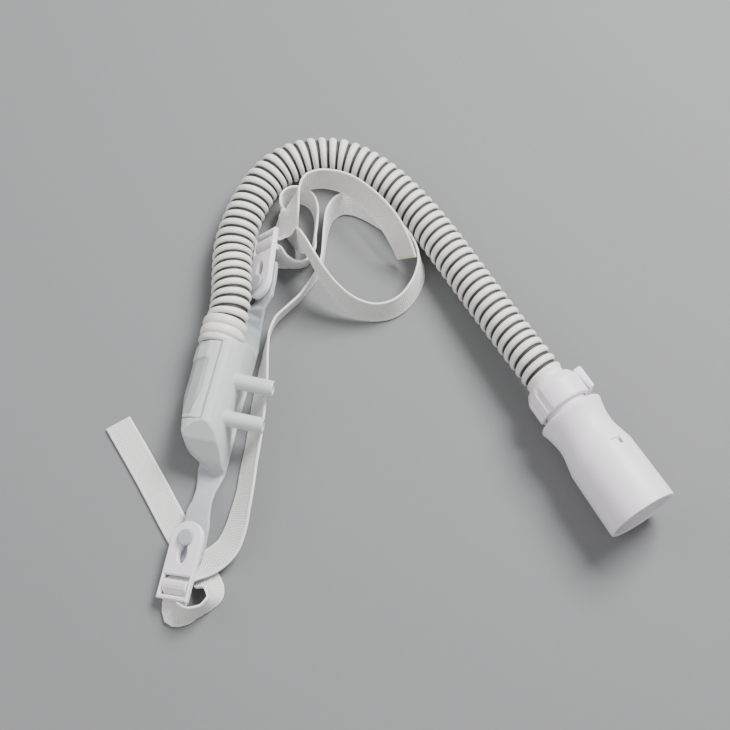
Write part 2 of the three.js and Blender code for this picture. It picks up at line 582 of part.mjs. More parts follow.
addBuckle("buckle_upper", UPPER_SEAT);
addBuckle("buckle_lower", LOWER_SEAT);
nasalEnd.add(piece("manifold", manifoldGeometry(), MANIFOLD_LOOK));
nasalEnd.add(piece("nasal_piece", nasalGeometry(), SILICONE_LOOK));
cannula.add(piece("hose_cuff", tube(cuffRoute, CUFF_OD, HOSE_BORE, 3), CUFF_LOOK));
cannula.add(piece("hose", tube(hoseRoute, HOSE_OD, HOSE_BORE, HOSE_STEPS), HOSE_LOOK));
cannula.add(piece("strap", band(strapStations(), STRAP_THICKNESS), STRAP_LOOK));
cannula.add(piece("collar", collarGeometry(), RIGID_LOOK));
cannula.add(piece("sleeve", sleeveGeometry(), RIGID_LOOK));
cannula.add(piece("connector", connectorGeometry(), RIGID_LOOK));

export default cannula;
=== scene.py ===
"""High-flow nasal cannula on a pale table: breathing hose, silicone prongs, strap and connector."""

import math

import bmesh
import bpy
from mathutils import Matrix, Vector


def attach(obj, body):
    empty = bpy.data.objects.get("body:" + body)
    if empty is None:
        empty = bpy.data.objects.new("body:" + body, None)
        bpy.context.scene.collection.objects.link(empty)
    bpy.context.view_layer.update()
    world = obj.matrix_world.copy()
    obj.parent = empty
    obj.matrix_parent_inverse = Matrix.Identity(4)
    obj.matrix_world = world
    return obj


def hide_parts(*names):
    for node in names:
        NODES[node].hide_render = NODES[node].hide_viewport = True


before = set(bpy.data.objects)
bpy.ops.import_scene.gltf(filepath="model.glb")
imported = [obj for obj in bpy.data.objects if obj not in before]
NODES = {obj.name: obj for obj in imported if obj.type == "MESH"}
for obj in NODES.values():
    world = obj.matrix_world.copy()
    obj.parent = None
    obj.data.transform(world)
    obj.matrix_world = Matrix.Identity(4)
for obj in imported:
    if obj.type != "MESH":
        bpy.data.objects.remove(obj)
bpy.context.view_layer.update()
MM = 0.001


def look_from(place, target, lens):
    bpy.ops.object.camera_add(location=place)
    camera = bpy.context.object
    camera.name = "camera"
    camera.rotation_mode = "QUATERNION"
    camera.rotation_quaternion = (Vector(target) - Vector(place)).to_track_quat("-Z", "Y")
    camera.data.sensor_width = 36
    camera.data.lens = lens
    bpy.context.scene.camera = camera


look_from((0.1766, -0.0521, 0.4601), (0.0102, 0.0502, 0), 69.04)

# Sizes, in millimetres
FIT = 0.3
NASAL_HEADING = 46
AIRWAY_AT = (-7.5, 9.4)
MANIFOLD_TOP_END = 18.8
CUFF_LENGTH = 10
HOSE_OD = 14.5
HOSE_BORE = 11.8
BEAD_PITCH = 3.65
BEAD_RADIUS = 1.42
WEB_RADIUS = 6.0
RIB_STEPS = 14
GROOVE_DEPTH = 1.1
PLAIN_END = 2.6
PLAIN_END_RADIUS = 6.9
COLLAR_START_X = 54
COLLAR_END_X = 64.4
COLLAR_RADIUS = 10
SLEEVE_START_X = 56.3
SLEEVE_END_X = 73.8
SLEEVE_RADIUS = 7.75
SLEEVE_BORE_RADIUS = 5.5
SLEEVE_SEAT = 8.05
LIP_END_X = 66.8
LIP_RADIUS = 11.75
WAIST_X = 76.8
WAIST_RADIUS = 10.3
SHOULDER_X = 85.6
SHOULDER_RADIUS = 12
MOUTH_X = 109.4
SOCKET_RADIUS = 11
THROAT_RADIUS = 6.5
POCKET_TURN = -20
AXIS_Y = 97.7
AXIS_Z = 12.5
STRAP_WIDTH = 9.4
STRAP_THICKNESS = 0.9
BUCKLE_THICKNESS = 2.2
WINDOW_AT = 18.6
WINDOW_LENGTH = 6.8
BAR_WIDTH = 1.6
BAR_HEIGHT = 0.8

HOSE_ROUTE = [
    (-34.4, 21.5, 9), (-39.4, 24.4, 8.5), (-45, 27.7, 7.9), (-50.7, 31.3, 7.4), (-55.4, 35.4, 7.3),
    (-59.4, 39.8, 7.3), (-63, 44.2, 7.3), (-66.1, 48.8, 7.3), (-68.8, 53.5, 7.3), (-70.6, 58.4, 7.3),
    (-71.6, 63.2, 7.3), (-71.4, 69.6, 7.3), (-69.9, 75.2, 7.3), (-66.8, 80.9, 7.3), (-62.6, 85.8, 7.3),
    (-56.2, 89.9, 7.3), (-48.3, 93.2, 7.3), (-38.7, 95.5, 7.3), (-28, 97.1, 7.3), (-17, 97.8, 7.6),
    (-6, 97.9, 8.2), (5, 97.8, 8.9), (16, 97.7, 9.8), (27, 97.7, 10.7), (36, 97.7, 11.5),
    (43, 97.7, 12.3), (49, 97.7, 12.5),
]
HOSE_END_X = 53.7

# x, y, z and the turn about the strap's own length: 0 lies flat, -90 stands on edge
STRAP_TAIL_A = [
    (-16.1, -35.2, 0.5, 0), (6.6, -35.4, 0.5, 0), (29.6, -36.2, 0.5, 0), (41, -36.3, 0.5, 0),
    (48.6, -36.3, 0.6, -2), (52.4, -36.1, 2.2, -28), (55.4, -36.8, 4, -58), (57.6, -39, 4.7, -80),
    (58.2, -42.2, 4.8, -86), (57.6, -45.6, 4.7, -80), (56, -48.7, 3.9, -56), (53.8, -50.6, 3, -28),
]
STRAP_MAIN = [
    (44.2, -41.2, 3.2, -18), (44.1, -38.6, 3, -14), (44.5, -35.4, 2.6, -8), (44.9, -32, 2.5, -8),
    (44.7, -28.4, 2.7, -12), (43.5, -24.3, 3, -20), (39.6, -19, 3.6, -32), (34.5, -14.1, 4, -42),
    (29.8, -9.8, 4.1, -48), (22.7, -4.2, 4.1, -50), (18.5, -0.6, 4.1, -52), (11.2, 5.2, 4.1, -53),
    (4.4, 10.3, 4.2, -55), (-2.3, 15.4, 4.4, -62), (-9.3, 20.6, 4.7, -74), (-15.6, 25.7, 4.8, -82),
    (-19.5, 30.7, 4.8, -82), (-21.2, 36.2, 4.8, -80), (-22.7, 42.1, 4.8, -80),
    (-25, 47.5, 4.8, -82), (-27.4, 52.4, 4.8, -86), (-31.1, 57, 4.8, -89), (-36.7, 61.3, 4.8, -91),
    (-42, 65.3, 4.8, -94), (-46.4, 69.6, 4.8, -102), (-48.2, 74.4, 4.4, -114),
    (-47, 78.9, 4, -130), (-42.5, 82.4, 3.9, -126), (-35.4, 85.5, 4.1, -120), (-27.9, 87.8, 4.3, -106),
    (-20.1, 89.2, 4.6, -90), (-13.1, 88.2, 4.7, -78), (-8.2, 85, 4.7, -72), (-4, 79.4, 4.7, -71),
    (-1.7, 73.2, 4.7, -71), (-1.8, 67.8, 4.7, -71), (-3.9, 62.7, 4.9, -72), (-7.6, 58.7, 6, -74),
    (-12.2, 55.7, 8.2, -77), (-18.4, 53.6, 11.2, -80), (-24.5, 52.8, 14.2, -83),
    (-31, 52.9, 15.1, -85), (-36.9, 53.2, 14.9, -86), (-40.6, 53.7, 9.5, -82),
    (-44.2, 54.1, 5, -74), (-49.8, 54.5, 4.5, -62),
    (-54, 54.6, 4.7, -76), (-58.1, 55.7, 4.8, -90), (-60.8, 58.3, 4.8, -98), (-61, 61.8, 4.8, -103),
    (-58.9, 65, 4.8, -104), (-54.9, 66.8, 4.8, -102), (-50.1, 66, 4.8, -99), (-45.3, 63.2, 4.8, -97),
    (-40.3, 59.4, 4.8, -98), (-35.9, 56.3, 4.8, -100), (-34, 53.1, 4.8, -102), (-34.1, 50.6, 4.8, -104),
    (-35.4, 48.4, 4.8, -100), (-37.8, 46.6, 4.8, -88), (-41.3, 44.9, 4.3, -58),
]
STRAP_TAIL_B = [
    (-55, 60.8, 15, -72), (-56.9, 64, 14.8, -88), (-57.6, 67.1, 14.6, -100), (-57, 71.3, 14, -106),
    (-54.3, 75.7, 13.4, -110), (-50.8, 79, 13, -114), (-46.5, 81.3, 12.6, -119),
    (-40.9, 83, 12.4, -124), (-34.6, 84.2, 12.2, -127), (-28.5, 84.7, 11.8, -129),
    (-22.6, 84.6, 10.2, -128), (-18.8, 84.4, 8, -125), (-15.8, 84, 5.8, -122),
]

NASAL_TURN = Matrix.Rotation(math.radians(NASAL_HEADING), 4, "Z")
TURN_COS = math.cos(math.radians(NASAL_HEADING))
TURN_SIN = math.sin(math.radians(NASAL_HEADING))


def seat(at, heading, pitch, roll):
    """Where a buckle lies, in the part's frame: its own X across, Y to its strap end, Z out of its face."""
    turn = Matrix.Rotation(math.radians(heading), 4, "Z")
    turn = turn @ Matrix.Rotation(math.radians(pitch), 4, "X")
    turn = turn @ Matrix.Rotation(math.radians(roll), 4, "Y")
    return NASAL_TURN @ Matrix.Translation(at) @ turn


UPPER_SEAT = seat((0.6, 42.4, 5.85), 7, 0, -50)
LOWER_SEAT = seat((-0.4, -43.8, 7.5), 180, -5, 22)


def spline_point(points, i, t):
    """The centripetal spline through the points, at t of the way from point i to the next."""
    near, far = points[i], points[i + 1]
    before = points[i - 1] if i > 0 else near * 2 - far
    after = points[i + 2] if i + 2 < len(points) else far * 2 - near
    d0 = max((near - before).length, 1e-6) ** 0.5
    d1 = max((far - near).length, 1e-6) ** 0.5
    d2 = max((after - far).length, 1e-6) ** 0.5
    start = ((near - before) / d0 - (far - before) / (d0 + d1) + (far - near) / d1) * d1
    end = ((far - near) / d1 - (after - near) / (d1 + d2) + (after - far) / d2) * d1
    bend = (far - near) * 3 - start * 2 - end
    twist = (near - far) * 2 + start + end
    return near + start * t + bend * t * t + twist * t * t * t


def even_line(points, step):
    """Points a step apart along the spline."""
    fine = [spline_point(points, i, k / 24) for i in range(len(points) - 1) for k in range(24)]
    fine.append(points[-1])
    along = [0.0]
    for a, b in zip(fine, fine[1:]):
        along.append(along[-1] + (b - a).length)
    count = max(2, round(along[-1] / step))
    line, k = [], 0
    for n in range(count + 1):
        want = along[-1] * n / count
        while k < len(along) - 2 and along[k + 1] < want:
            k += 1
        part = (want - along[k]) / max(along[k + 1] - along[k], 1e-9)
        line.append(fine[k].lerp(fine[k + 1], part))
    return line, along[-1]


def carried_frames(line):
    """Tangent and two normals at each point, carried along without twisting."""
    frames = []
    side = Vector((0, 0, 1))
    for n, point in enumerate(line):
        tangent = (line[min(n + 1, len(line) - 1)] - line[max(n - 1, 0)]).normalized()
        side = (side - tangent * side.dot(tangent)).normalized()
        frames.append((point, side, tangent.cross(side)))
    return frames


def mesh_piece(name, corners, faces):
    mesh = bpy.data.meshes.new(name)
    mesh.from_pydata([tuple(c * MM) for c in corners], [], faces)
    shell = bmesh.new()
    shell.from_mesh(mesh)
    bmesh.ops.recalc_face_normals(shell, faces=shell.faces)
    shell.to_mesh(mesh)
    shell.free()
    piece = bpy.data.objects.new(name, mesh)
    bpy.context.collection.objects.link(piece)
    for face in mesh.polygons:
        face.use_smooth = True
    return piece


def face_values(piece, name, values):
    """A number at each corner point, for the materials."""
    layer = piece.data.attributes.new(name, "FLOAT", "POINT")
    layer.data.foreach_set("value", values)


def hose_end(distance):
    across, up = AIRWAY_AT
    return NASAL_TURN @ Vector((across, MANIFOLD_TOP_END + distance, up))


def hose_surface(along, turn, length):
    """Radius of the hose's skin: a round bead wound over a thin web, and smooth ends."""
    phase = (along / BEAD_PITCH - turn) % 1.0
    away = abs(phase - 0.5) * BEAD_PITCH
    top = HOSE_OD / 2 - BEAD_RADIUS
    bead = top + math.sqrt(max(BEAD_RADIUS ** 2 - away ** 2, 0))
    radius = max(WEB_RADIUS, bead)
    to_collar = length - along
    if to_collar < PLAIN_END:
        blend = min(1.0, PLAIN_END - to_collar)
        radius = radius * (1 - blend) + PLAIN_END_RADIUS * blend
    if along < 0.5:
        radius = min(radius, HOSE_OD / 2 - 0.4)
    return radius


def make_hose():
    sides = 40
    start = 2 * FIT + CUFF_LENGTH
    points = [hose_end(start), hose_end(start + 4)] + [Vector(p) for p in HOSE_ROUTE]
    points.append(Vector((HOSE_END_X, AXIS_Y, AXIS_Z)))
    line, length = even_line(points, BEAD_PITCH / RIB_STEPS)
    corners, faces, groove = [], [], []
    frames = carried_frames(line)
    step = length / (len(line) - 1)
    for n, (point, side, other) in enumerate(frames):
        for k in range(sides):
            angle = 2 * math.pi * k / sides
            radius = hose_surface(n * step, k / sides, length)
            corners.append(point + side * (radius * math.cos(angle)) + other * (radius * math.sin(angle)))
            # groove depth, which the hose material turns into painted shade between the ribs
            groove.append(min(1.0, max(0.0, (HOSE_OD / 2 - radius) / GROOVE_DEPTH)))
    rings = len(frames)
    for n in range(rings - 1):
        for k in range(sides):
            a, b = n * sides + k, n * sides + (k + 1) % sides
            faces.append((a, b, b + sides, a + sides))
    inner = list(range(0, rings, RIB_STEPS))
    if inner[-1] != rings - 1:
        inner.append(rings - 1)
    base = len(corners)
    for n in inner:
        point, side, other = frames[n]
        for k in range(sides):
            angle = 2 * math.pi * k / sides
            radius = HOSE_BORE / 2 - 0.35
            corners.append(point + side * (radius * math.cos(angle)) + other * (radius * math.sin(angle)))
            # the bore counts as full groove, so it gets the full painted shade
            groove.append(1.0)
    for m in range(len(inner) - 1):
        for k in range(sides):
            a, b = base + m * sides + k, base + m * sides + (k + 1) % sides
            faces.append((a, a + sides, b + sides, b))
    last_outer = (rings - 1) * sides
    last_inner = base + (len(inner) - 1) * sides
    for k in range(sides):
        j = (k + 1) % sides
        faces.append((k, base + k, base + j, j))
        faces.append((last_outer + k, last_outer + j, last_inner + j, last_inner + k))
    piece = mesh_piece("hose_corrugated", corners, faces)
    face_values(piece, "groove", groove)
    return piece, line, length


hose, hose_line, hose_length = make_hose()


def only(piece):
    bpy.ops.object.select_all(action="DESELECT")
    piece.select_set(True)
    bpy.context.view_layer.objects.active = piece


def turned(name, profile, sides=96):
    """A closed profile of (place along X, radius), drawn out from a circle ring by ring around the X axis."""
    bpy.ops.object.select_all(action="DESELECT")
    first_x, first_r = profile[0]
    bpy.ops.mesh.primitive_circle_add(
        vertices=sides, radius=first_r * MM, location=(first_x * MM, 0, 0), rotation=(0, math.pi / 2, 0)
    )
    piece = bpy.context.object
    piece.name = piece.data.name = name
    bpy.ops.object.transform_apply()
    bpy.ops.object.mode_set(mode="EDIT")
    bpy.ops.mesh.select_mode(type="VERT")
    bpy.ops.mesh.select_all(action="SELECT")
    x, r = first_x, first_r
    for next_x, next_r in profile[1:] + profile[:1]:
        bpy.ops.mesh.extrude_edges_move(TRANSFORM_OT_translate={"value": ((next_x - x) * MM, 0, 0)})
        bpy.ops.transform.resize(value=(1, next_r / r, next_r / r), center_override=(next_x * MM, 0, 0))
        x, r = next_x, next_r
    bpy.ops.mesh.select_all(action="SELECT")
    bpy.ops.mesh.remove_doubles(threshold=0.002 * MM)
    bpy.ops.mesh.normals_make_consistent(inside=False)
    bpy.ops.object.mode_set(mode="OBJECT")
    return piece


def put(piece, matrix):
    """Moves a piece to its place, in its mesh."""
    piece.data.transform(Matrix.Scale(MM, 4) @ matrix @ Matrix.Scale(1 / MM, 4))
    piece.data.update()


def apply_modifier(piece, kind, **settings):
    only(piece)
    modifier = piece.modifiers.new(kind.lower(), kind)
    for key, value in settings.items():
        setattr(modifier, key, value)
    bpy.ops.object.modifier_apply(modifier=modifier.name)


def smooth(piece, degrees=35):
    only(piece)
    bpy.ops.object.shade_smooth_by_angle(angle=math.radians(degrees))


AXIS_PLACE = Matrix.Translation((0, AXIS_Y, AXIS_Z))


def arc(x, r, radius, start, end, steps=5):
    """Points of a rounded edge about (x, r), from start to end in degrees."""
    turns = [math.radians(start + (end - start) * n / steps) for n in range(steps + 1)]
    return [(x + radius * math.cos(a), r + radius * math.sin(a)) for a in turns]


def make_connector():
    lip = arc(LIP_END_X + 1.1, LIP_RADIUS - 1.1, 1.1, 180, 90)
    waist = []
    for step in range(1, 11):
        left = 1 - step / 10
        waist.append((
            WAIST_X - (WAIST_X - LIP_END_X - 1.1) * left, WAIST_RADIUS + (LIP_RADIUS - WAIST_RADIUS) * left ** 2
        ))
    outside = lip + waist + [(78.5, 10.5), (80.5, 10.92), (83, 11.46), (85, 11.9)]
    outside += [(SHOULDER_X, SHOULDER_RADIUS)]
    outside += [(90, 12.12), (97, 12.28), (104, 12.42)] + arc(MOUTH_X - 0.4, 12.1, 0.4, 90, 0)
    inside = arc(MOUTH_X - 0.5, SOCKET_RADIUS + 0.5, 0.5, 0, -90)
    inside += [(100, SOCKET_RADIUS), (87.4, SOCKET_RADIUS)]
    inside += [(78.3, THROAT_RADIUS), (SLEEVE_END_X + FIT, THROAT_RADIUS), (SLEEVE_END_X + FIT, SLEEVE_SEAT)]
    inside += [(70, SLEEVE_SEAT), (LIP_END_X + 0.4, SLEEVE_SEAT), (LIP_END_X, SLEEVE_SEAT + 0.35)]
    body = turned("connector_body", outside + inside, sides=112)
    pocket = cube_piece("pocket_cutter", (2.7, 4.4, 1.7))
    put(pocket, Matrix.Translation((SHOULDER_X, 0, 0)) @ Matrix.Rotation(math.radians(POCKET_TURN), 4, "X")
        @ Matrix.Translation((0, 0, 12.05)))
    cut_with(body, pocket)
    slit = cube_piece("slit_cutter", (2.1, 0.8, 3.8))
    put(slit, Matrix.Translation((SHOULDER_X + 0.3, 0, 0)) @ Matrix.Rotation(math.radians(POCKET_TURN), 4, "X")
        @ Matrix.Translation((0, 1.75, 11.4)))
    cut_with(body, slit)
    put(body, AXIS_PLACE)
    smooth(body, 32)
    return body


def cube_piece(name, size):
    bpy.ops.object.select_all(action="DESELECT")
    bpy.ops.mesh.primitive_cube_add(size=MM, location=(0, 0, 0))
    piece = bpy.context.object
    piece.name = piece.data.name = name
    piece.scale = size
    bpy.ops.object.transform_apply()
    return piece


def cut_with(piece, cutter):
    apply_modifier(piece, "BOOLEAN", operation="DIFFERENCE", object=cutter, solver="EXACT")
    bpy.data.objects.remove(cutter)


def join_with(piece, other):
    apply_modifier(piece, "BOOLEAN", operation="UNION", object=other, solver="EXACT")
    bpy.data.objects.remove(other)


def make_sleeve():
    start, end, outer, bore = SLEEVE_START_X, SLEEVE_END_X, SLEEVE_RADIUS, SLEEVE_BORE_RADIUS
    profile = arc(start + 0.6, outer - 0.6, 0.6, 180, 90) + [(60, outer), (65.6, outer), (66.1, 7.6)]
    profile += [(66.6, outer), (70, outer)] + arc(end - 0.6, outer - 0.6, 0.6, 90, 0)
    profile += [(end, bore + 0.1), (end - 0.1, bore), (65, bore), (start + 0.1, bore)]
    piece = turned("inner_sleeve", profile, sides=80)
    put(piece, AXIS_PLACE)
    smooth(piece)
    return piece


FLUTE_ANGLES = (48, 66, 84, 102, 120, 138)
FLUTE_HALF_ANGLE = 6
FLUTE_DEPTH = 0.85


def make_collar():
    start, end, bore = COLLAR_START_X, COLLAR_END_X, SLEEVE_BORE_RADIUS
    outside = [(start, bore + 0.1), (start, 8.1)] + arc(start + 0.3, 8.2, 0.3, 180, 118, 3) + [(55.6, 9.35)]
    outside += arc(57.2, 9.2, 0.8, 110, 90, 3) + [(x / 10, COLLAR_RADIUS) for x in range(580, 636, 8)]
    outside += arc(end - 0.5, COLLAR_RADIUS - 0.5, 0.5, 90, 0) + [(end, SLEEVE_SEAT + 0.25)]
    outside += [(x, SLEEVE_SEAT) for x in (end - 0.2, 60, 56)] + [(56, bore), (start + 0.1, bore)]
    piece = turned("grip_collar", outside, sides=144)
    for corner in piece.data.vertices:
        x, y, z = (corner.co / MM)
        radius = math.hypot(y, z)
        if radius < 8.5 or x < 55.2:
            continue
        angle = math.degrees(math.atan2(-y, z))
        dip = 0.0
        for flute in FLUTE_ANGLES:
            away = abs(angle - flute)
            if away < FLUTE_HALF_ANGLE:
                dip = max(dip, FLUTE_DEPTH * (1 - (away / FLUTE_HALF_ANGLE) ** 4))
        dip *= min(1.0, max(0.0, (x - 55.4) / 1.8))
        if dip > 0:
            scale = (radius - dip) / radius
            corner.co.y *= scale
            corner.co.z *= scale
    lug = cube_piece("lug", (8.9, 2.4, 10.6))
    only(lug)
    apply_modifier(lug, "BEVEL", width=0.8 * MM, segments=4, limit_method="NONE")
    put(lug, Matrix.Translation((59.7, 10.4, 0)))
    for corner in lug.data.vertices:
        x = corner.co.x / MM
        if corner.co.y / MM < 10:
            corner.co.y -= 0.9 * MM
        if x > 61.5 and corner.co.y / MM < 10.4:
            corner.co.y += 1.3 * MM
    ring = turned("lug_clearance", [(56, 0.2), (56, 8.4), (64.6, 8.4), (64.6, 0.2)], sides=48)
    cut_with(lug, ring)
    join_with(piece, lug)
    put(piece, AXIS_PLACE)
    smooth(piece, 38)
    return piece


def make_cuff():
    """Two wide smooth rings and a thin clear one, where the hose plugs into the manifold."""
    beads = [(1.3, 7.75, 1.25), (4.6, 8.0, 1.75), (8.3, 8.0, 1.65)]
    profile = [(0.05, 5.95), (0.05, 6.9)]
    for middle, top, half in beads:
        for n in range(9):
            turn = math.pi * (1 - n / 8)
            profile.append((middle + half * math.cos(turn), 6.9 + (top - 6.9) * math.sin(turn) ** 0.7))
    profile += [(9.97, 6.9), (9.97, 5.95)]
    piece = turned("hose_cuff_rings", profile, sides=80)
    face_values(piece, "clear", [1.0 if corner.co.x < 2.5 * MM else 0.0 for corner in piece.data.vertices])
    start = hose_end(FIT)
    way = (hose_end(1) - hose_end(0)).normalized()
    put(piece, Matrix.Translation(start) @ Vector((1, 0, 0)).rotation_difference(way).to_matrix().to_4x4())
    smooth(piece, 50)
    return piece


connector = make_connector()
sleeve = make_sleeve()
collar = make_collar()
cuff = make_cuff()


def softened_copy(node, name, voxel, passes):
    """A moulding worked over from the CAD solid: joined up, evenly meshed and eased all over."""
    piece = NODES[node].copy()
    piece.data = NODES[node].data.copy()
    piece.animation_data_clear()
    piece.name = piece.data.name = name
    piece.parent = None
    piece.matrix_world = Matrix.Identity(4)
    bpy.context.collection.objects.link(piece)
    piece.data.materials.clear()
    only(piece)
    bpy.ops.object.mode_set(mode="EDIT")
    bpy.ops.mesh.select_all(action="SELECT")
    bpy.ops.mesh.remove_doubles(threshold=0.001 * MM)
    bpy.ops.mesh.normals_make_consistent(inside=False)
    bpy.ops.object.mode_set(mode="OBJECT")
    apply_modifier(piece, "REMESH", mode="VOXEL", voxel_size=voxel * MM, use_smooth_shade=True)
    apply_modifier(piece, "SMOOTH", factor=0.5, iterations=passes)
    only(piece)
    bpy.ops.object.shade_smooth()
    return piece


silicone = softened_copy("nasal_piece", "nasal_silicone", 0.36, 5)
chamber = softened_copy("manifold", "manifold_shell", 0.34, 5)


BAR_AT = WINDOW_AT + WINDOW_LENGTH / 2
BAR_TOP = BAR_HEIGHT - BUCKLE_THICKNESS / 2
OVER_BAR = BAR_TOP + FIT + STRAP_THICKNESS / 2 + 0.25
KNEE = OVER_BAR - 0.4
SLOT_MID = (WINDOW_LENGTH + BAR_WIDTH) / 4


def threaded(matrix, left, rows):
    across = (matrix.to_3x3() @ Vector((left, 0, 0))).normalized()
    return [(matrix @ Vector((row[2] if len(row) > 2 else 0, BAR_AT + row[0], row[1])), across) for row in rows]


def laid(rows):
    return [(Vector(row[:3]), row[3]) for row in rows]


def strap_rows():
    lower = [
        (SLOT_MID + 3.5, -2.2), (SLOT_MID + 1.6, -2), (SLOT_MID + 0.9, -1.75), (SLOT_MID, -1),
        (SLOT_MID - 0.65, KNEE), (0, OVER_BAR), (0.65 - SLOT_MID, KNEE), (-SLOT_MID, -1),
        (-SLOT_MID - 0.9, -1.8), (-SLOT_MID - 1.9, -2.5),
    ]
    upper = [
        (-SLOT_MID - 0.3, -3.4, -0.3), (-SLOT_MID - 0.1, -2.1, -0.1), (-SLOT_MID, -0.8), (0.5 - SLOT_MID, KNEE),
        (0, OVER_BAR), (SLOT_MID - 0.5, KNEE), (SLOT_MID, -0.7), (SLOT_MID + 0.2, -1.9),
        (SLOT_MID + 2.2, -3, 1.2), (SLOT_MID + 4.1, -3.2, 4.4), (SLOT_MID + 5.5, -2.6, 8.6),
        (SLOT_MID + 7.9, -1.4, 11.9),
    ]
    rows = laid(STRAP_TAIL_A) + threaded(LOWER_SEAT, 1, lower) + laid(STRAP_MAIN)
    return rows + threaded(UPPER_SEAT, -1, upper) + laid(STRAP_TAIL_B)


def strap_stations():
    """Middle, direction and half width along the strap, about a millimetre apart."""
    rows = strap_rows()
    points = [row[0] for row in rows]

    def spot(i, t):
        return spline_point(points, i, t)

    def heading(i, t):
        return (spot(i, min(t + 0.002, 1)) - spot(i, max(t - 0.002, 0))).normalized()

    edge = []
    for n, (point, turn) in enumerate(rows):
        if isinstance(turn, Vector):
            edge.append(turn)
            continue
        along = heading(min(n, len(rows) - 2), 0 if n < len(rows) - 1 else 1)
        left = Vector((-along.y, along.x, 0)).normalized()
        up = along.cross(left)
        edge.append(left * math.cos(math.radians(turn)) + up * math.sin(math.radians(turn)))
    stations = []
    for i in range(len(rows) - 1):
        count = max(1, round((points[i + 1] - points[i]).length / 0.8))
        for k in range(count + (1 if i == len(rows) - 2 else 0)):
            t = k / count
            along = heading(i, t)
            wide = edge[i].lerp(edge[i + 1], t)
            wide = (wide - along * wide.dot(along)).normalized()
            up = along.cross(wide)
            middle = spot(i, t).copy()
            low = abs(wide.z) * STRAP_WIDTH / 2 + abs(up.z) * STRAP_THICKNESS / 2
            middle.z = max(middle.z, low)
            stations.append((middle, wide, up))
    return stations


def make_strap():
    """The knitted band, with a fuller selvedge along each edge."""
    across = [-1, -0.975, -0.93, -0.86, -0.8, -0.6, -0.4, -0.2, 0, 0.2, 0.4, 0.6, 0.8, 0.86, 0.93, 0.975, 1]
    thick = [0.45, 0.8, 0.97, 1.0, 0.84] + [0.8] * 7 + [0.84, 1.0, 0.97, 0.8, 0.45]
    stations = strap_stations()
    loop = len(across) * 2
    corners, faces, run, side = [], [], [], []
    length = 0.0
    for n, (middle, wide, up) in enumerate(stations):
        if n:
            length += (middle - stations[n - 1][0]).length
        for face in (1, -1):
            order = range(len(across)) if face > 0 else reversed(range(len(across)))
            for k in order:
                half = thick[k] * STRAP_THICKNESS / 2
                corners.append(middle + wide * (across[k] * STRAP_WIDTH / 2) + up * (face * half))
                run.append(length)
                side.append(across[k] * STRAP_WIDTH / 2)
    for n in range(len(stations) - 1):
        for k in range(loop):
            a, b = n * loop + k, n * loop + (k + 1) % loop
            faces.append((a, a + loop, b + loop, b))
    last = (len(stations) - 1) * loop
    wide_count = len(across)
    for start, turn in ((0, False), (last, True)):
        for k in range(wide_count - 1):
            quad = (start + k, start + k + 1, start + loop - 2 - k, start + loop - 1 - k)
            faces.append(quad[::-1] if turn else quad)
    piece = mesh_piece("knitted_strap", corners, faces)
    face_values(piece, "run", run)
    face_values(piece, "side", side)
    smooth(piece, 60)
    return piece, length


strap, strap_length = make_strap()


class Maths:
    """A shader value that adds Math nodes as it is worked with."""

    def __init__(self, finish, socket):
        self.finish = finish
        self.socket = socket

    def with_other(self, operation, *others):
        values = [self.socket] + [other.socket if isinstance(other, Maths) else other for other in others]
        return self.finish.node("ShaderNodeMath", {"operation": operation}, dict(enumerate(values)))

    def __add__(self, other):
        return self.with_other("ADD", other)

    def __sub__(self, other):
        return self.with_other("SUBTRACT", other)

    def __mul__(self, other):
        return self.with_other("MULTIPLY", other)

    def __rsub__(self, other):
        return (self * -1) + other

    __radd__ = __add__
    __rmul__ = __mul__

    def sine(self):
        return self.with_other("SINE")

    def size(self):
        return self.with_other("ABSOLUTE")

    def limited(self):
        return self.with_other("MAXIMUM", 0.0).with_other("MINIMUM", 1.0)

    def above(self, low, high):
        """0 below low, 1 above high, and a ramp between."""
        return ((self - low) * (1 / (high - low))).limited()


